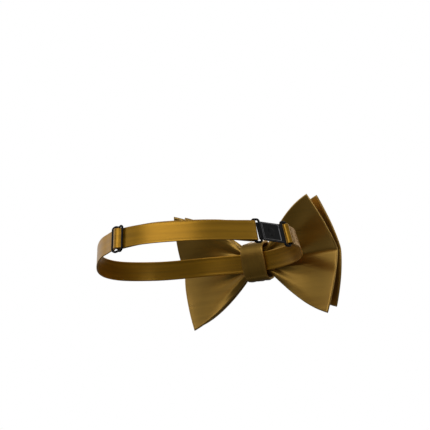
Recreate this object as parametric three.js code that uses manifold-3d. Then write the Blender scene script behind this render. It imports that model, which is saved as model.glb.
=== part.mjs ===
// Pre-tied bow tie in its worn form: a double-layered satin bow, its centre wrap, an adjustable neck band
// with a wire slider, and a hook-and-ring clasp at the nape. Millimetres, +Z up along the neck's axis.
// The origin is the middle of the neck loop at the band's mid-height. The bow faces -Y, and +X is the
// wearer's left.
import * as THREE from 'three';
import { mergeVertices } from 'three/addons/utils/BufferGeometryUtils.js';
import Module from 'manifold-3d';

const { clamp, degToRad, radToDeg, smoothstep } = THREE.MathUtils;
const wasm = await Module();
wasm.setup();

// Route of the band's inner lane round the neck, seen from above and counted from the bow.
// angle: degrees from +X; radius: mm from the neck's axis; rise: mm above the bow's middle; lean: degrees
// that the top edge leans inwards.
const LOOP = [
  { angle: 270, radius: 64.8, rise: 0, lean: 14 },
  { angle: 300, radius: 64.0, rise: 0, lean: 11 },
  { angle: 330, radius: 64.0, rise: -2.5, lean: 8 },
  { angle: 0, radius: 63.6, rise: -4.5, lean: 6 },
  { angle: 30, radius: 63.6, rise: -4.2, lean: 5 },
  { angle: 60, radius: 65.2, rise: 0.3, lean: 5 },
  { angle: 90, radius: 66.4, rise: 0.8, lean: 5 },
  { angle: 120, radius: 65.9, rise: 0.2, lean: 8 },
  { angle: 150, radius: 66.0, rise: 0, lean: 10 },
  { angle: 180, radius: 64.6, rise: 0.5, lean: 14 },
  { angle: 210, radius: 61.8, rise: 0, lean: 17 },
  { angle: 240, radius: 64.0, rise: 0, lean: 16 },
];

// Band, and the lanes that it runs in. A lane is the distance of the band's middle out from the route.
const GAP = 0.25;
const BAND_THICK = 1.0;
const BAND_HALF_WIDTH = 6.2;
const BAND_CHAMFER = 0.25;
const BAND_STEP = 4;
const OUTER_LANE = BAND_THICK + GAP;
const LANE_CHANGE = 12;

// Folded ends of the band, a little slimmer than the run that they are sewn to.
const SEWN_LENGTH = 8;
const SEWN_LANE = 0.8;
const TAIL_THICK = 0.9;
const TAIL_HALF_WIDTH = BAND_HALF_WIDTH - 0.1;

// Wire fittings, and their places along the route in mm from the bow, round the wearer's left.
const WIRE_RADIUS = 0.7;
const WIRE_SIDES = 8;
const FITTING_HALF_HEIGHT = BAND_HALF_WIDTH + GAP + WIRE_RADIUS;
const SLIDER_AT = 188.1;
const SLIDER_BAR_SPACING = 4.35;
const SLIDER_LOBE_RISE = 0.5;
const SLIDER_SEGMENTS = 84;
const RING_AT = 274.3;
const RING_LENGTH = 4.1;
const RING_LANE = 0.7;
const RING_FAR_LANE = 1.5;
const RING_CORNER = 1.2;
const HOOK_LENGTH = 24.7;
const HOOK_END_LANE = 0.9;

// Hook plate, measured along the band from the ring's far bar and out from that bar's middle.
const PLATE = { start: 1.25, halfHeight: 6.1, thick: 1.2, innerFace: -0.5 };
const END_FRAME = { start: 20.2, halfHeight: 8.3, shoulder: 1.4, bar: 1.4, slot: 2.3 };
const PANEL = { start: 2.5, end: 17.1, halfHeight: 5, depth: 0.35 };
const BOSS = { radius: 2.6, height: 0.3, sides: 24 };
// The ring's far bar stands a little askew to the tongue, which keeps a wider gap to it.
const TONGUE = { halfHeight: 5.3, thick: 0.7, gap: 0.4, lipHeight: 0.5, root: 2.5, sink: 0.4, steps: 8 };

// Bow: sizes of one wing, from the middle of the knot along its crease.
const WING_LENGTH = 59;
const WING_WALL = 1.9;
const WING_STATIONS = [0, 3, 6, 9, 11, 13.5, 16.5, 20, 25, 31, 38, 45, 52, 56, WING_LENGTH];
const WING_COLUMNS = 24;
const WAIST_END = 9;
const WAIST_HALF_HEIGHT = 9;
const CORNER_INSET = 8;
const FLARE_START = 1.5;
const CREASE_ROUNDING = 0.06;
const SETBACK_POWER = 0.85;
const INSET_POWER = 1.6;
const PLEAT_DEPTH = 0.9;
const PLEAT_COUNT = 2;
const PLEAT_FADE = 16;

// seat: the layer's distance out from the band at the knot; ridge: the same at the wing's end, along the
// crease; setback: how far the wing's corners lie behind its crease; halfHeight: at those corners.
const LAYERS = [
  { name: 'bow_rear', seat: 3.2, ridge: 6.2, setback: 14, halfHeight: 38.5 },
  { name: 'bow_front', seat: 6.8, ridge: 10.4, setback: 5, halfHeight: 36.5 },
];

// Centre wrap round both layers and the band: its hollow, its wall and the soft ribs along its length.
const WRAP = { back: -1.65, front: 9.9, halfHeight: 11.2, wall: 1.5, halfWidth: 9, waist: 0.8, steps: 32 };
const WRAP_RIBS = [0.1, 0.55, 0.25, 0.7, 0.25, 0.55, 0.1];

const BOW_SATIN = { color: 0x86621f, roughness: 0.45, metalness: 0.1 };
const BAND_SATIN = { color: 0x8f6a22, roughness: 0.45, metalness: 0.1 };
const BLACK_METAL = { color: 0x191a1c, roughness: 0.35, metalness: 0.6 };

// Solids

// Closed skin over a row of rings with equal counts. A ring runs along one side of a wall and back along
// the other, so that an end is closed by a strip between the two sides.
function skin(rings, closed = false) {
  const size = rings[0].length;
  const spans = closed ? rings.length : rings.length - 1;
  const index = [];
  const quad = (a, b, c, d) => index.push(a, b, c, a, c, d);
  for (let i = 0; i < spans; i++) {
    const here = i * size;
    const next = ((i + 1) % rings.length) * size;
    for (let k = 0; k < size; k++) {
      const side = (k + 1) % size;
      quad(here + k, here + side, next + side, next + k);
    }
  }
  if (!closed) {
    const last = spans * size;
    for (let k = 0; k < size / 2 - 1; k++) {
      quad(k, size - 1 - k, size - 2 - k, k + 1);
      quad(last + k, last + k + 1, last + size - 2 - k, last + size - 1 - k);
    }
  }
  const geometry = new THREE.BufferGeometry().setFromPoints(rings.flat());
  geometry.setIndex(index);
  return facingOut(geometry);
}

// Turns a closed skin's faces outwards, by the sign of its volume.
function facingOut(geometry) {
  const position = geometry.getAttribute('position');
  const index = geometry.getIndex();
  const corner = [0, 1, 2].map(() => new THREE.Vector3());
  let volume = 0;
  for (let i = 0; i < index.count; i += 3) {
    corner.forEach((point, k) => point.fromBufferAttribute(position, index.getX(i + k)));
    volume += corner[0].dot(corner[1].clone().cross(corner[2]));
  }
  if (volume < 0) {
    index.array.reverse();
  }
  return geometry;
}

// Geometry with only positions, its shared vertices merged.
function bare(geometry) {
  const copy = geometry.clone();
  copy.deleteAttribute('normal');
  copy.deleteAttribute('uv');
  return mergeVertices(copy, 1e-4);
}

function solid(geometry) {
  const merged = bare(geometry);
  return new wasm.Manifold(new wasm.Mesh({
    numProp: 3,
    vertProperties: new Float32Array(merged.getAttribute('position').array),
    triVerts: new Uint32Array(merged.getIndex().array),
  }));
}

function geometryOf(body) {
  const { vertProperties, triVerts } = body.getMesh();
  const geometry = new THREE.BufferGeometry();
  geometry.setAttribute('position', new THREE.BufferAttribute(vertProperties, 3));
  geometry.setIndex(new THREE.BufferAttribute(triVerts, 1));
  return geometry;
}

function joined(geometries) {
  return geometryOf(geometries.map(solid).reduce((whole, piece) => whole.add(piece)));
}

function piece(name, geometry, finish) {
  geometry.computeVertexNormals();
  const mesh = new THREE.Mesh(geometry, new THREE.MeshStandardMaterial(finish));
  mesh.name = name;
  return mesh;
}

// Route round the neck

const route = new THREE.CatmullRomCurve3(LOOP.map(({ angle, radius, rise }) => {
  const turn = degToRad(angle);
  return new THREE.Vector3(radius * Math.cos(turn), radius * Math.sin(turn), rise);
}), true);
route.arcLengthDivisions = 1200;
const ROUTE_LENGTH = route.getLength();

// Lean at a place on the route, eased between the table's rows.
function leanAt(point) {
  const fromBow = (radToDeg(Math.atan2(point.y, point.x)) - LOOP[0].angle + 720) % 360;
  const row = (fromBow / 360) * LOOP.length;
  const here = LOOP[Math.floor(row) % LOOP.length].lean;
  const next = LOOP[Math.ceil(row) % LOOP.length].lean;
  return degToRad(here + (next - here) * smoothstep(row % 1, 0, 1));
}

// Frame of the band at a distance along the route: along it, out from it and across its width.
function bandFrame(distance) {
  const share = (distance / ROUTE_LENGTH + 2) % 1;
  const point = route.getPointAt(share);
  const along = route.getTangentAt(share);
  const level = new THREE.Vector3(along.y, -along.x, 0).normalize();
  const up = level.clone().cross(along);
  const lean = leanAt(point);
  return {
    point,
    along,
    out: level.clone().multiplyScalar(Math.cos(lean)).addScaledVector(up, Math.sin(lean)),
    across: level.clone().multiplyScalar(-Math.sin(lean)).addScaledVector(up, Math.cos(lean)),
  };
}

function bandPoint(distance, lane, height) {
  const { point, out, across } = bandFrame(distance);
  return point.clone().addScaledVector(out, lane).addScaledVector(across, height);
}

// Band along a path of (distance, lane) points, with chamfered edges.
function bandAlong(path, thick = BAND_THICK, halfWidth = BAND_HALF_WIDTH) {
  const face = thick / 2;
  const shy = face - BAND_CHAMFER;
  const inside = halfWidth - BAND_CHAMFER;
  const section = [
    [shy, -halfWidth], [face, -inside], [face, inside], [shy, halfWidth],
    [-shy, halfWidth], [-face, inside], [-face, -inside], [-shy, -halfWidth],
  ];
  return skin(path.map((place, i) => {
    const before = path[Math.max(i - 1, 0)];
    const after = path[Math.min(i + 1, path.length - 1)];
    const heading = after.clone().sub(before).normalize();
    return section.map(([side, height]) =>
      bandPoint(place.x - heading.y * side, place.y + heading.x * side, height));
  }));
}

// Arc round a bar in (distance, lane), from one direction to another in degrees.
function turnRound(bar, radius, from, to, steps) {
  return Array.from({ length: steps + 1 }, (_, i) => {
    const turn = degToRad(from + ((to - from) * i) / steps);
    return new THREE.Vector2(bar.x + radius * Math.cos(turn), bar.y + radius * Math.sin(turn));
  });
}

// Joins stretches of a path by runs that ease from one's lane to the next one's.
function easedPath(stretches) {
  const path = [...stretches[0]];
  for (const stretch of stretches.slice(1)) {
    const start = path.at(-1);
    const end = stretch[0];
    const steps = Math.max(1, Math.round(Math.abs(end.x - start.x) / BAND_STEP));
    for (let i = 1; i < steps; i++) {
      const lane = start.y + (end.y - start.y) * smoothstep(i / steps, 0, 1);
      path.push(new THREE.Vector2(start.x + ((end.x - start.x) * i) / steps, lane));
    }
    path.push(...stretch);
  }
  return path;
}

// Bars that the band turns round, as (distance, lane). The clasp's far half lies on the wearer's right,
// so its distances are counted back from the bow.

const BAND_TO_BAR = WIRE_RADIUS + GAP + BAND_THICK / 2;
const BAND_OVER_MIDDLE = BAND_TO_BAR + BAND_THICK + GAP;
const BAND_TO_END_BAR = END_FRAME.bar * Math.SQRT1_2 + GAP + BAND_THICK / 2;
const place = (distance, lane) => new THREE.Vector2(distance, lane);
const sliderMiddle = place(SLIDER_AT, BAND_TO_BAR);
const sliderFirst = place(SLIDER_AT - SLIDER_BAR_SPACING, OUTER_LANE + BAND_TO_BAR);
const sliderSecond = place(SLIDER_AT + SLIDER_BAR_SPACING, OUTER_LANE + BAND_TO_BAR);
const ringNear = place(RING_AT, RING_LANE);
const ringFar = place(RING_AT + RING_LENGTH, RING_FAR_LANE);
const hookEnd = place(ringFar.x + HOOK_LENGTH - ROUTE_LENGTH, HOOK_END_LANE);

// Band: from the hook's end bar round the wearer's right to the bow, on round the wearer's left, through
// the slider as its outer run, round the ring's near bar and back to the slider's middle bar.
function neckBand() {
  const between = sliderMiddle.clone().sub(sliderFirst);
  const crossing = Math.asin((BAND_TO_BAR + BAND_OVER_MIDDLE) / between.length());
  const rise = radToDeg(crossing + between.angle()) % 360;
  const sewn = hookEnd.x + LANE_CHANGE;
  const sewnEnd = sewn + SEWN_LENGTH;

  const run = easedPath([
    turnRound(hookEnd, BAND_TO_END_BAR, 260, 90, 8),
    [place(sewn, SEWN_LANE)],
    [place(sewnEnd, SEWN_LANE)],
    [place(sewnEnd + LANE_CHANGE, 0)],
    [place(0, 0)],
    [place(sliderFirst.x - LANE_CHANGE, 0)],
    [
      ...turnRound(sliderFirst, BAND_TO_BAR, 270, 270 + rise, 3),
      ...turnRound(sliderMiddle, BAND_OVER_MIDDLE, 90 + rise, 90 - rise, 6),
      ...turnRound(sliderSecond, BAND_TO_BAR, 270 - rise, 270, 3),
    ],
    [place(ringNear.x - LANE_CHANGE, OUTER_LANE)],
    turnRound(ringNear, BAND_TO_BAR, 90, -90, 8),
    [place(ringNear.x - LANE_CHANGE, 0)],
    turnRound(sliderMiddle, BAND_TO_BAR, 270, 10, 10),
  ]);
  const hookTail = easedPath([
    turnRound(hookEnd, BAND_TO_END_BAR, 240, 270, 3),
    [place(sewn, 0)],
    [place(sewnEnd, 0)],
  ]);
  const sliderTail = turnRound(sliderMiddle, BAND_TO_BAR, 25, -45, 5);
  return joined([
    bandAlong(run),
    bandAlong(hookTail, TAIL_THICK, TAIL_HALF_WIDTH),
    bandAlong(sliderTail, TAIL_THICK, TAIL_HALF_WIDTH),
  ]);
}

// Fittings, in local axes: x along the band from the first bar, y across it, z out from it

// Stands a fitting on the places of two bars. make gets the distance between them.
function fitting(name, first, second, make) {
  const start = bandPoint(first.x, first.y, 0);
  const end = bandPoint(second.x, second.y, 0);
  const along = end.clone().sub(start).normalize();
  const across = bandFrame((first.x + second.x) / 2).across.clone();
  across.addScaledVector(along, -across.dot(along)).normalize();
  const out = along.clone().cross(across);
  const mesh = piece(name, make(start.distanceTo(end)), BLACK_METAL);
  mesh.position.copy(start);
  mesh.quaternion.setFromRotationMatrix(new THREE.Matrix4().makeBasis(along, across, out));
  return mesh;
}

// Figure-of-eight wire: two lobes that dip where the lower middle bar meets them.
function sliderWire(length) {
  const reach = length / 2;
  const drop = sliderMiddle.y - sliderFirst.y;
  const dip = FITTING_HALF_HEIGHT;
  const lobe = dip + SLIDER_LOBE_RISE;
  const quarter = [
    { x: 1, y: 0 },
    { x: 1, y: 0.5 * dip },
    { x: 1, y: 0.84 * dip },
    { x: 0.86, y: 0.99 * dip },
    { x: 0.52, y: lobe },
    { x: 0.22, y: (lobe + dip) / 2 },
    { x: 0, y: dip },
  ];
  const half = (end, side) => quarter.map(({ x, y }) =>
    new THREE.Vector3(reach * (1 + end * x), side * y, drop * (1 - x)));
  const outline = new THREE.CatmullRomCurve3([
    ...half(1, 1),
    ...half(-1, 1).reverse().slice(1),
    ...half(-1, -1).slice(1),
    ...half(1, -1).reverse().slice(1, -1),
  ], true, 'catmullrom');
  const wire = new THREE.TubeGeometry(outline, SLIDER_SEGMENTS, WIRE_RADIUS, WIRE_SIDES, true);
  const middle = new THREE.CylinderGeometry(WIRE_RADIUS, WIRE_RADIUS, 2 * dip, WIRE_SIDES);
  middle.translate(reach, 0, drop);
  return joined([wire, middle]);
}

// Rectangular wire ring with rounded corners.
function ringWire(length) {
  const high = FITTING_HALF_HEIGHT - RING_CORNER;
  const outline = [
    ...turnRound(place(length - RING_CORNER, high), RING_CORNER, 0, 90, 3),
    ...turnRound(place(RING_CORNER, high), RING_CORNER, 90, 180, 3),
    ...turnRound(place(RING_CORNER, -high), RING_CORNER, 180, 270, 3),
    ...turnRound(place(length - RING_CORNER, -high), RING_CORNER, 270, 360, 3),
  ];
  return skin(outline.map((point, i) => {
    const heading = outline[(i + 1) % outline.length].clone().sub(outline.at(i - 1)).normalize();
    return Array.from({ length: WIRE_SIDES }, (_, k) => {
      const turn = ((k + 0.5) / WIRE_SIDES) * 2 * Math.PI;
      const side = WIRE_RADIUS * Math.cos(turn);
      return new THREE.Vector3(
        point.x + heading.y * side,
        point.y - heading.x * side,
        WIRE_RADIUS * Math.sin(turn),
      );
    });
  }), true);
}

// Flat slab over an outline of [x, y] corners, from a base up.
function slab(corners, base, thick) {
  const outline = new THREE.Shape(corners.map(([x, y]) => new THREE.Vector2(x, y)));
  const plate = new THREE.ExtrudeGeometry(outline, { depth: thick, bevelEnabled: false });
  plate.translate(0, 0, base);
  return plate;
}

function rectangle(start, end, halfHeight) {
  return [[start, -halfHeight], [end, -halfHeight], [end, halfHeight], [start, halfHeight]];
}

// Hook plate: a tee-shaped plate with a slotted end, a sunk panel with a bare boss, and a tongue that
// runs under the ring's far bar and turns up behind it.
function hookPlate(length) {
  const end = length + END_FRAME.bar / 2;
  const neck = END_FRAME.start + END_FRAME.shoulder;
  const upper = [
    [end, END_FRAME.halfHeight], [neck, END_FRAME.halfHeight],
    [END_FRAME.start, PLATE.halfHeight], [PLATE.start, PLATE.halfHeight],
  ];
  const lower = upper.map(([x, y]) => [x, -y]).reverse();
  const tee = slab([...lower, ...upper], PLATE.innerFace, PLATE.thick);

  const slotEnd = length - END_FRAME.bar / 2;
  const slotOutline = rectangle(slotEnd - END_FRAME.slot, slotEnd, BAND_HALF_WIDTH + GAP);
  const slot = slab(slotOutline, PLATE.innerFace - PLATE.thick, 3 * PLATE.thick);
  const panelFloor = PLATE.innerFace + PLATE.thick - PANEL.depth;
  const panel = slab(rectangle(PANEL.start, PANEL.end, PANEL.halfHeight), panelFloor, PLATE.thick);
  const boss = new THREE.CylinderGeometry(BOSS.radius, BOSS.radius, 2 * BOSS.height, BOSS.sides);
  boss.rotateX(Math.PI / 2);
  boss.translate((PANEL.start + PANEL.end) / 2, 0, panelFloor);

  const inner = WIRE_RADIUS + TONGUE.gap;
  const outer = inner + TONGUE.thick;
  const root = PLATE.start + TONGUE.root;
  const seat = PLATE.innerFace + TONGUE.sink;
  const bend = (radius) => turnRound(place(0, 0), radius, 270, 180, TONGUE.steps).map(({ x, y }) => [x, y]);
  const tongue = slab([
    [root, -outer], ...bend(outer), [-outer, TONGUE.lipHeight], [-inner, TONGUE.lipHeight],
    ...bend(inner).reverse(), [PLATE.start, -inner], [PLATE.start + TONGUE.sink, seat], [root, seat],
  ], -TONGUE.halfHeight, 2 * TONGUE.halfHeight);
  tongue.rotateX(Math.PI / 2);
  const plate = solid(tee).subtract(solid(slot)).subtract(solid(panel));
  return geometryOf(plate.add(solid(boss)).add(solid(tongue)));
}

// Bow

const bowFrame = bandFrame(0);

function bowPoint(x, depth, height) {
  return bowFrame.point.clone()
    .addScaledVector(bowFrame.along, x)
    .addScaledVector(bowFrame.out, depth)
    .addScaledVector(bowFrame.across, height);
}

// Middle of one layer as (x, depth, height). station is mm from the knot's middle along the crease, and
// share runs from -1 at the lower edge to 1 at the upper one. Gathers at the knot open out into one crease
// with swept-back corners.
function layerPlace({ seat, ridge, setback, halfHeight }, station, share) {
  const reach = Math.abs(station);
  const open = clamp((reach - WAIST_END) / (WING_LENGTH - WAIST_END), 0, 1);
  const flare = open * (FLARE_START + (1 - FLARE_START) * open);
  const rounded = (value) => Math.hypot(value, CREASE_ROUNDING) - CREASE_ROUNDING;
  const away = rounded(share) / rounded(1);
  const inset = CORNER_INSET * open * away ** INSET_POWER;
  const gather = PLEAT_DEPTH * Math.exp(-Math.max(reach - WAIST_END, 0) / PLEAT_FADE);
  const depth = seat + (ridge - seat - setback * away ** SETBACK_POWER) * open
    + gather * Math.cos(2 * Math.PI * PLEAT_COUNT * share);
  const height = share * (WAIST_HALF_HEIGHT + (halfHeight - WAIST_HALF_HEIGHT) * flare);
  return new THREE.Vector3(Math.sign(station) * (reach - inset), depth, height);
}

// One layer as a wall of even thickness across both wings.
function bowLayer(layer) {
  const nudge = 0.02;
  const stations = [...WING_STATIONS.slice(1).map((station) => -station).reverse(), ...WING_STATIONS];
  const shares = Array.from({ length: WING_COLUMNS + 1 }, (_, k) => (2 * k) / WING_COLUMNS - 1);
  return skin(stations.map((station) => {
    const inwards = station > 0 ? -nudge : nudge;
    const faces = shares.map((share) => {
      const towards = share > 0 ? -nudge : nudge;
      const middle = layerPlace(layer, station, share);
      const along = layerPlace(layer, station + inwards, share).sub(middle).multiplyScalar(inwards);
      const across = layerPlace(layer, station, share + towards).sub(middle).multiplyScalar(towards);
      const normal = across.cross(along).setLength(WING_WALL / 2);
      return [middle.clone().add(normal), middle.clone().sub(normal)];
    });
    const ring = [...faces.map(([front]) => front), ...faces.map(([, back]) => back).reverse()];
    return ring.map(({ x, y, z }) => bowPoint(x, y, z));
  }));
}

// Centre wrap: a ribbed band carried round a squared oval in the plane across the bow.
function centreWrap() {
  const middle = (WRAP.front + WRAP.back) / 2;
  const depth = (WRAP.front - WRAP.back) / 2;
  const squared = (value) => Math.sign(value) * Math.sqrt(Math.abs(value));
  const columns = WRAP_RIBS.map((rib, k) => ({ rib, share: (2 * k) / (WRAP_RIBS.length - 1) - 1 }));
  return skin(Array.from({ length: WRAP.steps }, (_, i) => {
    const turn = (i / WRAP.steps) * 2 * Math.PI;
    const out = squared(Math.cos(turn));
    const up = squared(Math.sin(turn));
    const half = WRAP.halfWidth - WRAP.waist * Math.abs(up);
    const at = (share, wall) =>
      bowPoint(half * share, middle + (depth + wall) * out, (WRAP.halfHeight + wall) * up);
    return [
      ...columns.map(({ rib, share }) => at(share, WRAP.wall + rib)),
      ...columns.map(({ share }) => at(share, 0)).reverse(),
    ];
  }), true);
}

const tie = new THREE.Group();
tie.name = 'bow_tie';
for (const layer of LAYERS) {
  tie.add(piece(layer.name, bowLayer(layer), BOW_SATIN));
}
tie.add(piece('knot_wrap', centreWrap(), BOW_SATIN));
tie.add(piece('neck_band', neckBand(), BAND_SATIN));
tie.add(fitting('slider', sliderFirst, sliderSecond, sliderWire));
tie.add(fitting('clasp_ring', ringNear, ringFar, ringWire));
tie.add(fitting('clasp_hook', place(ringFar.x - ROUTE_LENGTH, ringFar.y), hookEnd, hookPlate));

export default tie;
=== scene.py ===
"""Pre-tied satin bow tie in its worn form: two bow layers, a centre wrap, an adjustable neck band with a wire
slider, and a black hook-and-ring clasp. Everything is in metres, with +Z up along the neck's axis, the bow
towards -Y and the wearer's left at +X."""
import math

import bpy
import numpy as np
from mathutils import Matrix, Quaternion, Vector


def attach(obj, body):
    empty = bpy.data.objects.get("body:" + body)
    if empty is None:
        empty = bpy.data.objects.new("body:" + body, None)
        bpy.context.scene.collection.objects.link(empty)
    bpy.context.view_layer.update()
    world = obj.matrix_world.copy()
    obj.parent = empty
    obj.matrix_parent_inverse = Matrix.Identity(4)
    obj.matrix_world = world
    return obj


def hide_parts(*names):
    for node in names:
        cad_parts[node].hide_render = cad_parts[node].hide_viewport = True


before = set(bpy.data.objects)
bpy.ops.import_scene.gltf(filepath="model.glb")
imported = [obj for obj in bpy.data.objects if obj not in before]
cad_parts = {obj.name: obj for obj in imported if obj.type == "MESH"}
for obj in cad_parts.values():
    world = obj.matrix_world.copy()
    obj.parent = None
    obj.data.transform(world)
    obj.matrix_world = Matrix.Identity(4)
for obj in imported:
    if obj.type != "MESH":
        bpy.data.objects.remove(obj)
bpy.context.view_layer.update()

bl_info = {
    "name": "Satin bow tie",
    "version": (1, 0, 0),
    "blender": (4, 5, 0),
    "location": "View3D > Sidebar > Bow tie",
    "description": "Builds a pre-tied satin bow tie with its neck band, slider and clasp",
    "category": "Object",
}

MM = 0.001

# Line of the band round the neck, counted from the bow round the wearer's left. Columns: degrees from +X,
# mm from the neck's axis, mm above the bow's middle, degrees that the top edge leans inwards.
LOOP = np.array([
    (270, 64.8, 0.0, 14), (300, 64.0, 0.0, 11), (330, 64.0, -2.5, 8), (0, 63.6, -4.5, 6),
    (30, 63.6, -4.2, 5), (60, 65.2, 0.3, 5), (90, 66.4, 0.8, 5), (120, 65.9, 0.2, 8),
    (150, 66.0, 0.0, 10), (180, 64.6, 0.5, 14), (210, 61.8, 0.0, 17), (240, 64.0, 0.0, 16),
])

# Way of the band's middle round the bars of the fittings, in mm, with a step every so many degrees of a turn.
OUTER_LANE = 1.25
BAND_TO_BAR = 1.45
BAND_OVER_MIDDLE = 2.7
BAND_TO_END_BAR = 1.74
RING_FOLD_SHIFT = 0.1
LANE_CHANGE = 12.0
TURN_STEP = 7.5
SEWN_FROM_BAR = 5.0
SEWN_LENGTH = 9.0
SEWN_LANE = 0.8
STITCH_ROWS = (SEWN_FROM_BAR + 0.6, SEWN_FROM_BAR + SEWN_LENGTH - 1.5)
STITCH_LANE = SEWN_LANE + 0.46

# Those bars, in mm along the neck line and, as a lane, out from it.
SLIDER_AT = 188.1
SLIDER_BAR_SPACING = 4.35
SLIDER_LANE = OUTER_LANE + BAND_TO_BAR
RING_AT = 274.3
RING_LENGTH = 4.1
HOOK_LENGTH = 24.7
BARS = {
    "slider_first": np.array([SLIDER_AT - SLIDER_BAR_SPACING, SLIDER_LANE]),
    "slider_middle": np.array([SLIDER_AT, BAND_TO_BAR]),
    "slider_second": np.array([SLIDER_AT + SLIDER_BAR_SPACING, SLIDER_LANE]),
    "ring_near": np.array([RING_AT, 0.7]),
    "ring_far": np.array([RING_AT + RING_LENGTH, 1.5]),
    "hook_end": np.array([RING_AT + RING_LENGTH + HOOK_LENGTH, 0.9]),
}

# Strap: shares of its section, then in mm the rounding of its cut ends and the waves that it bobs by, as
# height, length and start.
FACE_LEVEL = 0.86
ROLL_AT = 0.93
ROLL_WIDTH = 0.07
CUT_THIN = 0.3
CUT_ROUNDING = 0.5
BOB_WAVES = ((0.1, 23, 0), (0.07, 9.7, 1))

# Sewn tails, which are slimmer than the run, and stitches, spaced by a multiple of their length.
TAIL_SLIMMER = 0.0001
TAIL_THIN = 0.9
STITCH_RADIUS = 0.00014
STITCH_MARGIN = 0.0008
STITCH_SPACING = 1.35

# Layers of the bow: distance out from the band at the knot and along the wing's crease at its end, how far
# the corners are set back from that crease, and half the height at the corners, all in mm. The turn, in
# radians, sets where a layer's soft folds lie.
LAYERS = {
    "bow_rear": {"seat": 3.2, "ridge": 6.2, "setback": 14.0, "half_height": 38.5, "turn": 1.6},
    "bow_front": {"seat": 6.8, "ridge": 10.4, "setback": 5.0, "half_height": 36.5, "turn": 2.9},
}

# Grid of a layer: its rows along one wing, how evenly they stand, its columns, the steps round a folded
# edge, and the small steps along and over it that give its slope.
LAYER_ROWS = 61
ROW_EVENNESS = 0.35
ROW_POWER = 1.15
LAYER_COLUMNS = 67
LAYER_EDGE_STEPS = 5
STEP_ALONG = 1e-5
STEP_OVER = 1e-3

# Form of a layer, as layer_middle uses it.
FLARE_START = 1.5
CREASE_ROUNDING = 0.06
INSET_POWER = 1.6
SETBACK_POWER = 0.85
PLEAT_COUNT = 2
PLEAT_FADE = 0.016
SOFT_FOLD = 0.0005
SOFT_FOLD_TWIST = 2.2
LIFT = 0.0003
LIFT_WAVES = 9
LIFT_SLANT = 3
EDGE_THIN = 0.12

# Painted highlight on folded edges, shown as a pale rub: its width on the bow and the band, and the painted
# light that makes the wings' ends paler: its strength and width.
BOW_EDGE_HIGHLIGHT = 0.0005
BAND_EDGE_HIGHLIGHT = 0.0003
END_PAINTED_LIGHT = 0.55
END_PAINTED_LIGHT_WIDTH = 0.007

# Centre wrap: its grid, its hollow, the power of its squared oval, how much it narrows at top, bottom and
# front, the heights and counts of its relief with the pleats' drift and what is left at the back, and the
# length of its cloth.
WRAP_ROWS = 160
WRAP_COLUMNS = 49
WRAP_EDGE_STEPS = 4
WRAP_MIDDLE = 0.00425
WRAP_DEPTH = 0.00565
WRAP_HALF_HEIGHT = 0.0112
WRAP_SQUARENESS = 0.62
WRAP_TOP_WAIST = 0.0008
WRAP_FRONT_WAIST = 0.0005
WRAP_PLEAT = 0.00062
WRAP_PLEAT_COUNT = 3
WRAP_PLEAT_DRIFT = 0.09
WRAP_CREASE = 0.0002
WRAP_CREASE_COUNT = 7
WRAP_CROWN = 0.0007
WRAP_BACK_RELIEF = 0.35

# Wire fittings, and the hook in mm along the band from the ring's far bar and out from it.
WIRE_SIDES = 20
SLIDER_LOBE = 0.0005
RING_CORNER = 0.0013
PLATE = {"start": 1.25, "end": 21.4, "corner": 0.9, "base": -0.5}
PANEL = {"start": 2.5, "end": 17.1, "half": 5.0, "corner": 0.6, "least": -0.4}
BOSS_HEIGHT = 0.3
PLATE_POINTS = 40
SLOT = {"start": 20.9, "half": 7.55, "corner": 0.9, "half_bar": 0.72, "rounding": 0.3}
TONGUE = {"thick": 0.6, "half": 5.3, "gap": 0.36, "rounding": 0.25}

# Rings of the hook's plate from the boss outwards and back under it, in mm: the outline and the level, then
# each ring's radius, outset or inset, its rise above that level and, where it carries a painted rim highlight
# of pale metal, how far.
PLATE_RINGS = (
    ("circle", "boss", ((0.4, 0.04), (1.5, 0.02), (2.2, -0.03), (2.45, -0.1))),
    ("circle", "floor", ((2.62, 0.08), (2.8, 0.01), (2.9, 0), (3.0, 0))),
    ("panel", "floor", ((-0.7, 0), (-0.26, 0), (-0.2, 0.05))),
    ("panel", "top", ((0, -0.05, 1), (0.08, 0, 1), (0.4, 0))),
    ("border", "top", ((0.9, 0), (0.55, 0), (0.45, -0.06, 0.4), (0.12, -0.56), (0, -0.7))),
    ("border", "base", ((0, 0.2), (0.15, 0), (1.0, 0))),
    ("circle", "base", ((2.0, 0),)),
)

# Camera of the photograph: degrees round from the bow, above the horizon and of roll, focal length in
# pixels, and the pixel of the neck loop's middle.
CAMERA_TURN = 213.26
CAMERA_RISE = -10.0
CAMERA_ROLL = -2.70
FOCAL_PIXELS = 1842.44
ORIGIN_PIXEL = (199.89, 250.58)
IMAGE_SIDE = 430.0
SENSOR = 36.0

# Soft lights: degrees round from the bow and above the horizon, metres away, width, height and colour.
LIGHTS = {
    "key": (183, 11, 1.2, 1.1, 0.8, (1.0, 0.98, 0.95)),
    "top": (300, 75, 1.4, 0.9, 0.9, (1.0, 1.0, 1.0)),
    "front": (16, 30, 1.3, 0.9, 0.7, (1.0, 0.84, 0.6)),
    "low": (143, -58, 1.3, 0.5, 0.4, (1.0, 1.0, 1.0)),
    "side": (280, 8, 1.2, 0.25, 0.5, (1.0, 1.0, 1.0)),
}

# Room as it lights the object: the ground and the far wall in shares of the room light, what the ceiling
# takes away, and the far wall's degrees round from the camera.
GROUND_LIGHT = 0.25
WALL_LIGHT = 2.2
CEILING_DIM = 0.6
WALL_TURN = -135


def prop_maker(kind=bpy.props.FloatProperty, **limits):
    """Maker of one kind of property, from 0 up: a size in metres, a share, a power or a linear colour."""
    def make(name, description, default):
        return kind(name=name, description=description, default=default, min=0.0, **limits)
    return make


def group_prop(group, name, description):
    """Property that holds a whole group of settings."""
    return bpy.props.PointerProperty(type=group, name=name, description=description)


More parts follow.
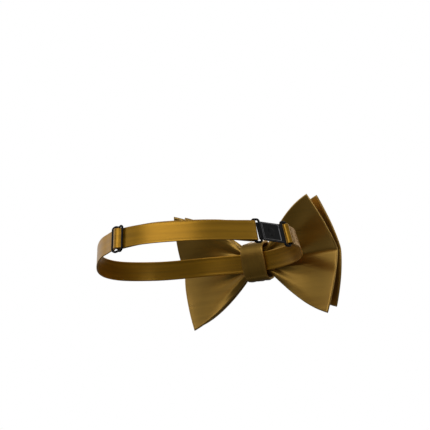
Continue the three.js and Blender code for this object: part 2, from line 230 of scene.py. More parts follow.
length_prop = prop_maker(precision=5, subtype="DISTANCE", unit="LENGTH")
share_prop = prop_maker(max=1.0, subtype="FACTOR")
power_prop = prop_maker(unit="POWER")
level_prop = prop_maker()
colour_prop = prop_maker(bpy.props.FloatVectorProperty, size=3, max=1.0, subtype="COLOR")


class BowSizes(bpy.types.PropertyGroup):
    """Sizes of the bow and its centre wrap."""
    wing_length: length_prop("Wing length", "From the knot's middle to a wing's end", 0.059)
    wall: length_prop("Cloth thickness", "Satin folded over its lining", 0.0017)
    waist_end: length_prop("Gather width", "From the knot's middle to where a wing starts to open", 0.009)
    waist_half: length_prop("Gathered half height", "Half the height of a layer inside the wrap", 0.009)
    corner_inset: length_prop("Corner inset", "How far a wing's corners fall short of its crease", 0.008)
    pleat_depth: length_prop("Pleat depth", "Depth of the gathers beside the wrap", 0.0009)
    wrap_half_width: length_prop("Wrap half width", "Half the width of the centre wrap", 0.009)
    wrap_wall: length_prop("Wrap thickness", "Thickness of the folded centre wrap", 0.0015)


class BandSizes(bpy.types.PropertyGroup):
    """Sizes of the neck band."""
    half_width: length_prop("Half width", "Half the width of the neck band", 0.0062)
    thick: length_prop("Thickness", "Thickness of the folded satin strap", 0.001)
    peek: length_prop("Peek", "How far the inner run stands above the outer one", 0.0009)
    stitch: length_prop("Stitch length", "Length of one stitch at the sewn end", 0.0017)


class FittingSizes(bpy.types.PropertyGroup):
    """Sizes of the slider and the clasp."""
    wire_radius: length_prop("Wire radius", "Radius of the slider's and ring's wire", 0.0007)
    half_height: length_prop("Half height", "Half the height of the wire fittings", 0.00715)
    plate_half_height: length_prop("Plate half height", "Half the height of the hook's plate", 0.0061)
    plate_thick: length_prop("Plate thickness", "Thickness of the hook's plate", 0.0012)
    panel_depth: length_prop("Panel depth", "Depth of the sunk panel in the plate", 0.00035)


class Finishes(bpy.types.PropertyGroup):
    """Colours and gloss of the satin and the black metal."""
    # The bow's satin is the band's cloth, set darker here as painted shade.
    bow_gold: colour_prop("Bow gold", "Satin of the bow and its wrap", (0.48, 0.272, 0.036))
    bow_shade: colour_prop("Bow shade", "Darker threads of the bow's satin", (0.37, 0.203, 0.024))
    band_gold: colour_prop("Band gold", "Satin of the neck band", (0.58, 0.29, 0.009))
    band_shade: colour_prop("Band shade", "Darker threads of the band's satin", (0.44, 0.215, 0.004))
    thread: colour_prop("Thread", "Sewing thread", (0.56, 0.29, 0.03))
    black: colour_prop("Black", "Paint on the slider and the clasp", (0.004, 0.004, 0.0045))
    # Pale metal painted on the clasp's rims as their highlight.
    rim_highlight: colour_prop("Rubbed metal", "Metal that shows on the rims of the clasp", (0.55, 0.55, 0.57))
    bow_streak: share_prop("Bow streaks", "Strength of the long streaks in the bow's satin", 0.35)
    band_streak: share_prop("Band streaks", "Strength of the long streaks in the band's satin", 0.85)
    satin_metal: share_prop("Satin shine", "How far the satin shines in its own colour", 0.75)
    satin_rough: share_prop("Satin roughness", "Spread of the satin's shine", 0.27)
    black_rough: share_prop("Black roughness", "Spread of the black paint's shine", 0.28)


class StageSettings(bpy.types.PropertyGroup):
    """Floor, light and camera."""
    floor_drop: length_prop("Floor drop", "Floor below the middle of the neck loop", 0.45)
    distance: length_prop("Camera distance", "Camera from the middle of the neck loop", 1.15)
    key_power: power_prop("Key light", "Soft light behind the wearer's left", 3.15)
    top_power: power_prop("Top light", "Soft light above", 1.0)
    front_power: power_prop("Front light", "Soft light in front of the bow", 1.6)
    low_power: power_prop("Low light", "Soft light from below, behind the neck", 0.16)
    side_power: power_prop("Side light", "Narrow soft light on the wearer's right", 0.6)
    ambient: level_prop("Room light", "Even light from the pale room", 0.2)


class BowTieSettings(bpy.types.PropertyGroup):
    """Everything that a user would change."""
    bow: group_prop(BowSizes, "Bow", "Sizes of the bow")
    band: group_prop(BandSizes, "Band", "Sizes of the band")
    fittings: group_prop(FittingSizes, "Fittings", "Sizes of the fittings")
    finishes: group_prop(Finishes, "Finishes", "Colours and gloss")
    stage: group_prop(StageSettings, "Stage", "Floor, light and camera")


# Curves and surfaces

def smooth(share):
    """Eases from 0 to 1: 3t^2 - 2t^3 of the share, held at its ends."""
    t = np.clip(share, 0, 1)
    return t * t * (3 - 2 * t)


def unit(vectors):
    """Vectors divided by their own lengths."""
    return vectors / np.linalg.norm(vectors, axis=-1, keepdims=True)


def full_turn(count):
    """Angles spread evenly over one turn."""
    return np.linspace(0, 2 * np.pi, count, endpoint=False)


def circle(radius, turn):
    """Points of a circle: r cos and r sin."""
    return radius * np.stack([np.cos(turn), np.sin(turn)], axis=1)


def at_height(outline, z):
    """A flat outline, stood at one height."""
    return np.column_stack([outline, np.full(len(outline), z)])


def closed_curve(points, per_span):
    """Catmull-Rom curve through a closed row of points: each span is a cubic that passes its two ends along
    the lines between their neighbours."""
    t = np.linspace(0, 1, per_span, endpoint=False)[None, :, None]
    before, here, after, beyond = (np.roll(points, k, axis=0)[:, None] for k in (1, 0, -1, -2))
    curve = (2 * here + (after - before) * t + (2 * before - 5 * here + 4 * after - beyond) * t ** 2
             + (3 * here - before - 3 * after + beyond) * t ** 3) / 2
    return curve.reshape(-1, points.shape[1])


def closed_heading(line):
    """Direction along a closed line: from each point's neighbour behind it to the one ahead."""
    return unit(np.roll(line, -1, axis=0) - np.roll(line, 1, axis=0))


class NeckLine:
    """Line of the band round the neck. A place on the band is a distance along the line, a lane out from it
    and a height across the band, each turned into a point by the line's own frame there."""

    def __init__(self):
        angle = np.radians(LOOP[:, 0])
        flat = circle(LOOP[:, 1, None], angle)
        line = closed_curve(np.column_stack([flat, LOOP[:, 2]]) * MM, 200)
        row = (np.degrees(np.arctan2(line[:, 1], line[:, 0])) - LOOP[0, 0]) % 360 / 360 * len(LOOP)
        here = np.floor(row).astype(int) % len(LOOP)
        step = LOOP[(here + 1) % len(LOOP), 3] - LOOP[here, 3]
        lean = np.radians(LOOP[here, 3] + step * smooth(row % 1))
        table = np.column_stack([line, closed_heading(line), lean])
        self.table = np.vstack([table, table[:1]])
        steps = np.linalg.norm(np.diff(self.table[:, :3], axis=0), axis=1)
        self.at = np.concatenate([[0], np.cumsum(steps)])
        self.length = self.at[-1]

    def frame(self, distance):
        """Point, and the directions along, out and across, at distances along the line."""
        at = np.mod(distance, self.length)
        row = np.stack([np.interp(at, self.at, column) for column in self.table.T], axis=-1)
        point, along, lean = row[..., :3], unit(row[..., 3:6]), row[..., 6:]
        level = unit(np.stack([along[..., 1], -along[..., 0], np.zeros(along.shape[:-1])], axis=-1))
        up = np.cross(level, along)
        out = level * np.cos(lean) + up * np.sin(lean)
        across = up * np.cos(lean) - level * np.sin(lean)
        return point, along, out, across

    def place(self, distance, lane, height):
        """The line's point, moved out by the lane and across by the height."""
        point, _, out, across = self.frame(np.asarray(distance, dtype=float))
        return point + out * np.asarray(lane)[..., None] + across * np.asarray(height)[..., None]


NECK = NeckLine()


def ring_corners(spans, columns):
    """Row and column of the four corners of each face between neighbouring rings."""
    i, j = np.meshgrid(np.arange(spans), np.arange(columns), indexing="ij")
    corners = np.array([(i, j), (i, j + 1), (i + 1, j + 1), (i + 1, j)])
    return np.moveaxis(corners, 0, -1).reshape(2, -1, 4)


def closed_map(uv):
    """Map coordinates with each ring's first point repeated at its end."""
    return np.concatenate([uv, uv[:, :1]], axis=1)


class Skin:
    """Points, faces, map coordinates and marks of painted light on edges of one piece, gathered from closed
    surfaces.
    """

    def __init__(self):
        self.points, self.uv, self.edge, self.corners, self.sizes, self.slots = [], [], [], [], [], []
        self.count = 0

    def grid(self, points, uv=None, edge=0.0, wrap_rows=False, cap_ends=False, slot=0):
        """Adds a closed surface: rows of points, each row a ring. The rows join into a ring too where
        wrap_rows is set, and cap_ends closes the first and last ring with one face each. Faces are turned
        outwards by the sign of the volume, a sixth of the sum of corner . (corner x corner)."""
        rows, columns = points.shape[:2]
        row, column = ring_corners(rows if wrap_rows else rows - 1, columns)
        faces = row % rows * columns + column % columns
        flat = points.reshape(-1, 3)
        a, b, c, d = (flat[faces[:, k]] - flat[0] for k in range(4))
        volume = np.sum(a * np.cross(b, c)) + np.sum(a * np.cross(c, d))
        uv = np.zeros((rows + 1, columns + 1, 2)) if uv is None else uv
        corner_uv = uv[row, column]
        if volume < 0:
            faces, corner_uv = faces[:, ::-1], corner_uv[:, ::-1]
        self.corners.append(faces.ravel() + self.count)
        self.uv.append(corner_uv.reshape(-1, 2))
        self.sizes.append(np.full(len(faces), 4))
        if cap_ends:
            first, last = np.arange(columns), np.arange(columns) + (rows - 1) * columns
            for end, flipped in ((first, volume > 0), (last, volume < 0)):
                order = end[::-1] if flipped else end
                self.corners.append(order + self.count)
                self.uv.append(uv[order // columns, order % columns])
                self.sizes.append(np.array([columns]))
        added = len(faces) + (2 if cap_ends else 0)
        self.slots.append(np.full(added, slot))
        self.points.append(flat)
        self.edge.append(np.broadcast_to(edge, (rows, columns)).ravel())
        self.count += len(flat)
        return self

    def piece(self, name, finishes, node, slot):
        """Puts the surfaces into one mesh object that rides on the root body and stands for a CAD node."""
        corners, sizes = np.concatenate(self.corners), np.concatenate(self.sizes)
        mesh = bpy.data.meshes.new(name)
        mesh.vertices.add(self.count)
        mesh.vertices.foreach_set("co", np.concatenate(self.points).astype(np.float32).ravel())
        mesh.loops.add(len(corners))
        mesh.loops.foreach_set("vertex_index", corners.astype(np.int32))
        mesh.polygons.add(len(sizes))
        mesh.polygons.foreach_set("loop_start", (np.cumsum(sizes) - sizes).astype(np.int32))
        mesh.polygons.foreach_set("material_index", np.concatenate(self.slots).astype(np.int32))
        mesh.polygons.foreach_set("use_smooth", np.ones(len(sizes), dtype=bool))
        layer = mesh.uv_layers.new(name="cloth")
        layer.uv.foreach_set("vector", np.concatenate(self.uv).astype(np.float32).ravel())
        mark = mesh.attributes.new("edge_mark", "FLOAT", "POINT")
        mark.data.foreach_set("value", np.concatenate(self.edge).astype(np.float32))
        mesh.update(calc_edges=True)
        if mesh.validate():
            raise RuntimeError(f"{name} has faces that don't close")
        for finish in finishes:
            mesh.materials.append(finish)
        made = bpy.data.objects.new(name, mesh)
        bpy.context.scene.collection.objects.link(made)
        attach(made, "root")
        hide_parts(node)
        return made


# Shader sums

class Tone:
    """One output socket of a material's nodes. Sums on tones and numbers add Math nodes."""

    def __init__(self, tree, socket):
        self.tree, self.socket = tree, socket

    @classmethod
    def node(cls, tree, kind, settings=(), inputs=(), output=0):
        """Adds a node: its settings first, then the values or links of its inputs. Returns one output."""
        made = tree.nodes.new(kind)
        for key, value in dict(settings).items():
            setattr(made, key, value)
        set_inputs(tree, made, dict(inputs))
        return cls(tree, made.outputs[output])

    def maths(self, operation, first, second):
        """One Math node on two tones or numbers."""
        return Tone.node(self.tree, "ShaderNodeMath", {"operation": operation}, {0: first, 1: second})

    def __add__(self, other):
        return self.maths("ADD", self, other)

    __radd__ = __add__

    def __sub__(self, other):
        return self.maths("SUBTRACT", self, other)

    def __rsub__(self, other):
        return self.maths("SUBTRACT", other, self)

    def __mul__(self, other):
        return self.maths("MULTIPLY", self, other)

    __rmul__ = __mul__

    def between(self, low, high):
        """0 below low, 1 above high and eased between them."""
        return Tone.node(self.tree, "ShaderNodeMapRange", {"interpolation_type": "SMOOTHSTEP"},
                         {"Value": self, "From Min": low, "From Max": high})

    def pick(self, first, second):
        """Colour from first, at 0, to second, at 1."""
        return Tone.node(self.tree, "ShaderNodeMix", {"data_type": "RGBA"},
                         {0: self, 6: first, 7: second}, 2)


def set_inputs(tree, node, values):
    """Links tones to a node's inputs, and sets the others to plain values."""
    for key, value in values.items():
        if isinstance(value, Tone):
            tree.links.new(value.socket, node.inputs[key])
        else:
            node.inputs[key].default_value = value


def rgba(colour):
    """A colour with full alpha."""
    return (*colour, 1.0)


def cloud(tree, vector, scale, detail, dimensions="3D"):
    """Soft noise from 0 to 1 over a vector tone times a fixed scale, in waves a metre."""
    place = Tone.node(tree, "ShaderNodeVectorMath", {"operation": "MULTIPLY"}, {0: vector, 1: scale})
    return Tone.node(tree, "ShaderNodeTexNoise", {"noise_dimensions": dimensions},
                     {"Vector": place, "Scale": 1.0, "Detail": detail})


def mottle(tree, waves, detail):
    """Soft noise through the object's own space, with so many waves a metre each way."""
    space = Tone.node(tree, "ShaderNodeTexCoord", output=3)
    return cloud(tree, space, (waves, waves, waves), detail)


def edge_mark(tree):
    """The mark of folded edges and rims, 1 on the edge itself, where a highlight is painted; it also paints
    the wings' ends paler.
    """
    return Tone.node(tree, "ShaderNodeAttribute", {"attribute_name": "edge_mark"}, output=2)


def bumped(tree, strength, height):
    """Normal of a fine relief, a tenth of a millimetre deep at full strength."""
    return Tone.node(tree, "ShaderNodeBump", {},
                     {"Strength": strength, "Distance": 0.1 * MM, "Height": height})


def new_finish(name):
    """An empty material: its node tree and the shader whose sockets are set."""
    finish = bpy.data.materials.new(name)
    finish.use_nodes = True
    tree = finish.node_tree
    return finish, tree, tree.nodes["Principled BSDF"]


def satin(name, gold, shade, streak, settings):
    """Satin: long floats along the cloth's map in two golds, broader streaks, a slow drift of colour and
    gloss, a paler colour painted on the folded edges as a highlight and on the wings' ends as painted light,
    and a fine bump from floats and streaks."""
    finish, tree, shader = new_finish(name)
    cloth = Tone.node(tree, "ShaderNodeUVMap", {"uv_map": "cloth"})
    floats = cloud(tree, cloth, (150.0, 2600.0, 0.0), 2.0, "2D")
    streaks = cloud(tree, cloth, (14.0, 420.0, 0.0), 1.0, "2D")
    drift = mottle(tree, 45.0, 2.0)
    threads = (floats * 0.25 + (streaks - 0.5) * streak + drift * 0.4 + 0.175).between(0.2, 0.8)
    pale = tuple(min(1.0, 1.6 * c + 0.05) for c in gold)
    set_inputs(tree, shader, {
        # Paler colour where the mark is: a painted highlight on folded edges and painted light on the wings'
        # ends.
        "Base Color": (edge_mark(tree) * 0.8).pick(threads.pick(rgba(shade), rgba(gold)), rgba(pale)),
        "Metallic": settings.satin_metal,
        "Roughness": settings.satin_rough + 0.12 * drift + 0.08 * streaks - 0.06,
        "Coat Weight": 0.3,
        "Coat Roughness": 0.3,
        "Sheen Weight": 0.02,
        "Sheen Roughness": 0.35,
        "Sheen Tint": (0.9, 0.72, 0.5, 1.0),
        "Anisotropic": 0.4,
        "Normal": bumped(tree, 0.05, floats * 0.5 + streaks * streak),
    })
    return finish


def sewing_thread(settings):
    """Twisted thread: specks of two golds, a little less shiny than the band."""
    finish, tree, shader = new_finish("sewing_thread")
    speck = mottle(tree, 5000.0, 1.0)
    dark = tuple(0.75 * c for c in settings.thread)
    set_inputs(tree, shader, {
        "Base Color": speck.pick(rgba(dark), rgba(settings.thread)),
        "Metallic": 0.55,
        "Roughness": 0.4 + 0.2 * speck,
    })
    return finish


def black_paint(settings):
    """Baked black paint on metal: a faint orange-peel bump, cloudy gloss, and rims painted with pale bare
    metal in patches as their highlight.
    """
    finish, tree, shader = new_finish("black_paint")
    wear = mottle(tree, 420.0, 3.0)
    worn = tuple(3.0 * c + 0.006 for c in settings.black)
    # Pale bare metal in patches on the marked rims: a painted highlight.
    rim_highlight = edge_mark(tree) * wear.between(0.2, 0.5)
    paint = wear.between(0.5, 0.8).pick(rgba(settings.black), rgba(worn))
    set_inputs(tree, shader, {
        "Base Color": rim_highlight.pick(paint, rgba(settings.rim_highlight)),
        "Metallic": 0.9 * rim_highlight,
        "Specular IOR Level": 0.25,
        "Roughness": settings.black_rough + 0.18 * wear - 0.05,
        "Normal": bumped(tree, 0.12, mottle(tree, 1800.0, 2.0)),
    })
    return finish


def finish_named(name, make):
    """A material made once and shared by the pieces of its finish."""
    return bpy.data.materials.get(name) or make()


def satin_of(part):
    """Satin of the bow or of the band, in the colours that its settings give."""
    settings = bpy.context.scene.bow_tie.finishes
    name = "satin_of_" + part
    gold, shade, streak = (getattr(settings, f"{part}_{key}") for key in ("gold", "shade", "streak"))
    return finish_named(name, lambda: satin(name, gold, shade, streak, settings))


def black_piece(skin, node):
    """A fitting's skin as a piece in black paint."""
    finish = finish_named("black_paint", lambda: black_paint(bpy.context.scene.bow_tie.finishes))
    return skin.piece(node + "_black", [finish], node, "black_metal")


# Bow

def bow_point(places):
    """Points from (x, depth, height) at the front of the neck line, leaning with the band there."""
    point, along, out, across = NECK.frame(np.zeros(1))
    return point[0] + places @ np.stack([along[0], out[0], across[0]])


def wing_opening(layer, sizes, station):
    """How a wing opens at stations along its crease: the distance past the gathered waist, its share of the
    wing's length, and half the height, which flares as share (1.5 - share / 2)."""
    beyond = np.maximum(np.abs(station) - sizes.waist_end, 0)
    share = np.clip(beyond / (sizes.wing_length - sizes.waist_end), 0, 1)
    flare = share * (FLARE_START + (1 - FLARE_START) * share)
    return beyond, share, sizes.waist_half + (layer["half_height"] * MM - sizes.waist_half) * flare


def layer_middle(layer, sizes, station, share):
    """Middle of a layer as (x, depth, height). Height is the share times the half height there. Depth runs
    from the seat to the crease's end and falls back towards the corners by a power of the share, with
    cosine pleats that fade away from the knot, slow soft folds and a slight lift. The corners' reach is
    drawn in by another power of the share."""
    beyond, opened, half = wing_opening(layer, sizes, station)
    crease = CREASE_ROUNDING
    away = (np.hypot(share, crease) - crease) / (math.hypot(1, crease) - crease)
    inset = sizes.corner_inset * opened * away ** INSET_POWER
    fade = np.exp(-beyond / PLEAT_FADE)
    pleats = sizes.pleat_depth * fade * np.cos(2 * np.pi * PLEAT_COUNT * share)
    slow = np.cos(2 * np.pi * share + layer["turn"] + SOFT_FOLD_TWIST * opened)
    soft = SOFT_FOLD * np.sin(np.pi * opened) * slow
    slant = LIFT_SLANT * share * np.sign(station)
    lift = LIFT * opened * np.sin(LIFT_WAVES * opened + slant + layer["turn"])
    rise = (layer["ridge"] - layer["seat"] - layer["setback"] * away ** SETBACK_POWER) * MM
    depth = layer["seat"] * MM + rise * opened + pleats + soft + lift
    return np.stack([np.sign(station) * (np.abs(station) - inset), depth, share * half], axis=-1)


def rounded_edge(radius, steps):
    """Quarter round of a folded edge: distances in from the edge, r(1 - cos), and half thicknesses, sin, as
    shares of r."""
    turn = np.linspace(0, np.pi / 2, steps + 1)
    return radius * (1 - np.cos(turn)), np.sin(turn)


def cloth_ring(columns, radius, steps):
    """Ring across a folded cloth: over its outside, round one folded edge, back over its inside and round
    the other edge. Returns the side, from -1 to 1, the distance in from that side's edge, and the share of
    half the thickness, which is positive outside."""
    inward, round_off = rounded_edge(radius, steps)
    edge_in = np.concatenate([inward[-2::-1], inward[1:-1]])
    edge_off = np.concatenate([round_off[-2::-1], -round_off[1:-1]])
    inner, face, end = np.linspace(-1, 1, columns), np.ones(columns), np.ones(len(edge_in))
    side = np.concatenate([inner, end, inner[::-1], -end])
    depth_in = np.concatenate([radius * face, edge_in, radius * face, edge_in])
    offset = np.concatenate([face, edge_off, -face, edge_off[::-1]])
    return side, depth_in, offset


def bow_layer(layer, sizes):
    """A layer as a pillow over (station, share): each point of its middle is moved along the surface's normal
    by half the cloth's thickness, which rounds off along all four folded edges. Rows stand closer together
    near the knot."""
    radius = sizes.wall / 2
    inward, round_off = rounded_edge(radius, LAYER_EDGE_STEPS)
    spans = np.linspace(0, 1, LAYER_ROWS)
    spread = ROW_EVENNESS * spans + (1 - ROW_EVENNESS) * spans ** ROW_POWER
    rows = (sizes.wing_length - radius) * spread
    half_row = np.concatenate([rows, sizes.wing_length - inward[-2::-1]])
    half_thin = np.concatenate([np.ones(len(spans)), round_off[-2::-1]])
    stations = np.concatenate([-half_row[:0:-1], half_row])[:, None]
    thin = np.maximum(np.concatenate([half_thin[:0:-1], half_thin]), EDGE_THIN)[:, None]

    side, depth_in, offset = cloth_ring(LAYER_COLUMNS, radius, LAYER_EDGE_STEPS)
    half = wing_opening(layer, sizes, stations)[2]
    share = side * (1 - depth_in / half)
    station = np.broadcast_to(stations, share.shape)

    def middle(along, over):
        return layer_middle(layer, sizes, np.where(station == 0, 1e-9, station) + along, share + over)

    along = middle(STEP_ALONG, 0) - middle(-STEP_ALONG, 0)
    over = middle(0, STEP_OVER) - middle(0, -STEP_OVER)
    normal = unit(np.cross(over, along))
    places = middle(0, 0) + normal * (radius * offset * thin)[..., None]
    uv = np.stack([station, share * half], axis=-1)
    from_side = (1 - np.abs(share)) * half
    from_end = sizes.wing_length - np.abs(station)
    # Painted highlight along the folded edges, and painted light that makes the wing's ends paler.
    edge_highlight = np.exp(-np.minimum(from_side, from_end) / BOW_EDGE_HIGHLIGHT)
    painted_end_light = END_PAINTED_LIGHT * np.exp(-from_end / END_PAINTED_LIGHT_WIDTH)
    return Skin().grid(bow_point(places), closed_map(uv), np.maximum(edge_highlight, painted_end_light), cap_ends=True)


def squared(wave):
    """A cosine or sine drawn out towards a square: its sign times its size to the power 0.62."""
    return np.sign(wave) * np.abs(wave) ** WRAP_SQUARENESS


def knot_wrap(sizes):
    """Centre wrap: a ring of folded cloth on a squared oval, counted from its back. Its outside carries three
    soft pleats and finer creases, each a cosine of the share across, and a crown of 1 - share^2, which fade
    towards the back and the folded edges."""
    turns = np.linspace(-np.pi, np.pi, WRAP_ROWS, endpoint=False)[:, None]
    out, up = squared(np.cos(turns)), squared(np.sin(turns))
    radius = sizes.wrap_wall / 2
    side, depth_in, offset = cloth_ring(WRAP_COLUMNS, radius, WRAP_EDGE_STEPS)
    waist = WRAP_TOP_WAIST * np.abs(up) + WRAP_FRONT_WAIST * np.clip(out, 0, 1)
    half = sizes.wrap_half_width - waist
    share = side * (1 - depth_in / half)
    front = np.clip(WRAP_BACK_RELIEF + (1 - WRAP_BACK_RELIEF) * out, 0, 1)
    drift = WRAP_PLEAT_DRIFT * np.sin(turns + 0.6)
    pleat = WRAP_PLEAT * np.cos(WRAP_PLEAT_COUNT * np.pi * (share + drift))
    crease = WRAP_CREASE * np.cos(WRAP_CREASE_COUNT * np.pi * share + 1)
    relief = front * (pleat + crease + WRAP_CROWN * (1 - share ** 2))
    outside = (offset > 0) * np.clip((1 - np.abs(share)) * 6, 0, 1)
    level = radius * (1 + offset) + outside * relief
    aside = half * share
    deep = WRAP_MIDDLE + (WRAP_DEPTH + level) * out
    places = np.stack([aside, deep, (WRAP_HALF_HEIGHT + level) * up], axis=-1)
    oval = np.hstack([out * WRAP_DEPTH, up * WRAP_HALF_HEIGHT])
    girth = np.cumsum(np.linalg.norm(oval - np.roll(oval, 1, axis=0), axis=1))
    girth = np.append(girth - girth[0], girth[-1])[:, None]
    across = np.vstack([aside, aside[:1]])
    uv = closed_map(np.stack([np.broadcast_to(girth, across.shape), across], axis=-1))
    # Painted highlight along the wrap's folded edges.
    edge_highlight = np.exp(-(1 - np.abs(share)) * half / BOW_EDGE_HIGHLIGHT)
    return Skin().grid(bow_point(places), uv, edge_highlight, wrap_rows=True)


# Band

def spot(distance, lane, rise=0.0):
    """A place of the band's middle: along the neck line, out from it, and its rise across the width."""
    return np.array([[distance, lane, rise]])


def turn_round(bar, radius, start, end):
    """Arc round a bar, from one direction to another in degrees."""
    steps = max(2, round(abs(end - start) / TURN_STEP))
    turn = np.radians(np.linspace(start, end, steps + 1))
    return at_height(bar + circle(radius, turn), 0.0)


def eased_path(stretches):
    """Joins stretches by runs, with a step every mm, that ease from one's lane and rise to the next one's."""
    path = [stretches[0]]
    for stretch in stretches[1:]:
        start, end = path[-1][-1], stretch[0]
        count = max(1, round(abs(end[0] - start[0])))
        share = np.arange(1, count)[:, None] / count
        run = start + (end - start) * np.hstack([share, smooth(share), smooth(share)])
        path += [run, stretch]
    return np.concatenate(path)


def step_lengths(path):
    """Lengths of a path's steps, seen from above the band."""
    return np.linalg.norm(np.diff(path[:, :2], axis=0), axis=1)


def strap_section(half_width, thick):
    """Ring across a strap of folded satin: flat faces, a slight swell inside its rolled edges, and edges
    rounded by half the thickness. Returns sides and heights."""
    radius = thick / 2
    inner = np.linspace(-1, 1, 25)
    roll = np.exp(-((np.abs(inner) - ROLL_AT) / ROLL_WIDTH) ** 2)
    face = radius * (FACE_LEVEL + (1 - FACE_LEVEL) * roll)
    turn = np.radians(np.linspace(90, -90, 9)[1:-1])
    past, beside = radius * np.cos(turn), radius * np.sin(turn)
    flat = half_width - radius
    side = np.concatenate([face, beside, -face[::-1], -beside])
    height = np.concatenate([flat * inner, flat + past, flat * inner[::-1], -flat - past])
    return side, height


def strap(path, half_width, thick, skin):
    """Carries the strap's section along a path of (distance, lane, rise). The section stands square to the
    path, which bobs a little, and thins at both cut ends by a quarter round."""
    side, height = strap_section(half_width, thick)
    heading = unit(np.gradient(path[:, :2], axis=0))
    steps = np.concatenate([[0], np.cumsum(step_lengths(path))])
    from_end = np.minimum(steps, steps[-1] - steps)
    short = (1 - from_end / CUT_ROUNDING).clip(0)
    thin = np.maximum(np.sqrt(np.clip(1 - short ** 2, 0, 1)), CUT_THIN)[:, None]
    bob = sum(high * np.sin(steps / length + start) for high, length, start in BOB_WAVES)
    side = side / MM * thin
    distance = path[:, :1] - heading[:, 1:] * side
    lane = path[:, 1:2] + heading[:, :1] * side
    tall = height / MM + (path[:, 2] + bob)[:, None]
    points = NECK.place(distance * MM, lane * MM, tall * MM)
    uv = np.stack(np.broadcast_arrays(steps[:, None] * MM, height), axis=-1)
    # Painted highlight along the strap's folded edges.
    edge_highlight = np.exp(-(half_width - np.abs(height)) / BAND_EDGE_HIGHLIGHT)
    return skin.grid(points, closed_map(uv), edge_highlight, cap_ends=True)


def neck_band(sizes):
    """Band from the hook's end bar round the wearer's right to the bow, on to the slider, through it as the
    outer run, round the ring and back to the slider's middle bar, with its two sewn tails. Distances
    before the bow are below 0. Returns its skin and the run's length."""
    first, middle, second = BARS["slider_first"], BARS["slider_middle"], BARS["slider_second"]
    near, hook = BARS["ring_near"], BARS["hook_end"] - (NECK.length / MM, 0)
    between = middle - first
    crossing = math.asin((BAND_TO_BAR + BAND_OVER_MIDDLE) / np.hypot(*between))
    rise = math.degrees(crossing + math.atan2(between[1], between[0]))
    sewn = hook[0] + SEWN_FROM_BAR
    sewn_end = sewn + SEWN_LENGTH
    peek = sizes.peek / MM
    run = eased_path([
        turn_round(hook, BAND_TO_END_BAR, 260, 90),
        spot(sewn, SEWN_LANE),
        spot(sewn_end, SEWN_LANE),
        spot(sewn_end + LANE_CHANGE, 0),
        spot(0, 0),
        spot(first[0] - LANE_CHANGE, 0),
        turn_round(first, BAND_TO_BAR, 270, 270 + rise),
        turn_round(middle, BAND_OVER_MIDDLE, 90 + rise, 90 - rise),
        turn_round(second, BAND_TO_BAR, 270 - rise, 270),
        spot(near[0] - LANE_CHANGE, OUTER_LANE),
        turn_round(near + np.array([RING_FOLD_SHIFT, 0.0]), BAND_TO_BAR, 90, -90),
        spot(near[0] - 2 * LANE_CHANGE, 0, peek),
        spot(second[0] + 2 * LANE_CHANGE, 0, peek),
        turn_round(middle, BAND_TO_BAR, 270, 10),
    ])
    tails = (
        eased_path([turn_round(hook, BAND_TO_END_BAR, 240, 270), spot(sewn, 0), spot(sewn_end, 0)]),
        turn_round(middle, BAND_TO_BAR, 25, -45),
    )
    skin = Skin()
    strap(run, sizes.half_width, sizes.thick, skin)
    for tail in tails:
        strap(tail, sizes.half_width - TAIL_SLIMMER, TAIL_THIN * sizes.thick, skin)
    return skin, np.sum(step_lengths(run)) * MM


def capsule(half, radius, tip, sides):
    """Round bar with rounded ends: rings of radius r sin, set r cos past each end. Returns the points' places
    aside, along the bar and out."""
    along = half + radius * np.cos(tip)
    along = np.concatenate([-along, along[::-1]])
    thin = radius * np.concatenate([np.sin(tip), np.sin(tip[::-1])])
    turn = full_turn(sides)
    return np.outer(thin, np.cos(turn)), np.outer(along, np.ones(sides)), np.outer(thin, np.sin(turn))


def stitch_row(skin, distance, lane, sizes, slot):
    """Row of stitches across the band: capsules at even heights, sunk a little into the cloth."""
    radius = STITCH_RADIUS
    spacing = STITCH_SPACING * sizes.stitch
    count = int(2 * (sizes.half_width - STITCH_MARGIN) / spacing)
    aside, along, out = capsule(sizes.stitch / 2 - radius, radius, np.radians([12, 45, 90]), 8)
    for height in (np.arange(count) - (count - 1) / 2) * spacing:
        skin.grid(NECK.place(distance + aside, lane + out, height + along), cap_ends=True, slot=slot)


# Fittings, in local axes: x along the band from the first bar, y across it, z out from it

def bar_ends(first, second):
    """Middles of two bars, from their places on the band."""
    bars = np.array([first, second]) * MM
    return NECK.place(bars[:, 0], bars[:, 1], np.zeros(2))


def bar_distance(first, second):
    """Straight distance between the middles of two bars."""
    ends = bar_ends(first, second)
    return np.linalg.norm(ends[1] - ends[0])


def fitting_points(first, second, local):
    """Stands local points on the places of two bars."""
    ends = bar_ends(first, second)
    along = unit(ends[1] - ends[0])
    across = NECK.frame(np.array([(first[0] + second[0]) / 2 * MM]))[3][0]
    across = unit(across - along * (across @ along))
    return ends[0] + local @ np.stack([along, across, np.cross(along, across)])


def carried_round(line, section):
    """Section (u, v) carried round a closed line: u to its side, heading x z, and v upright."""
    heading = closed_heading(line)
    side = unit(np.cross(heading, [0.0, 0.0, 1.0]))
    upright = np.cross(side, heading)
    return line[:, None] + side[:, None] * section[:, :1] + upright[:, None] * section[:, 1:]


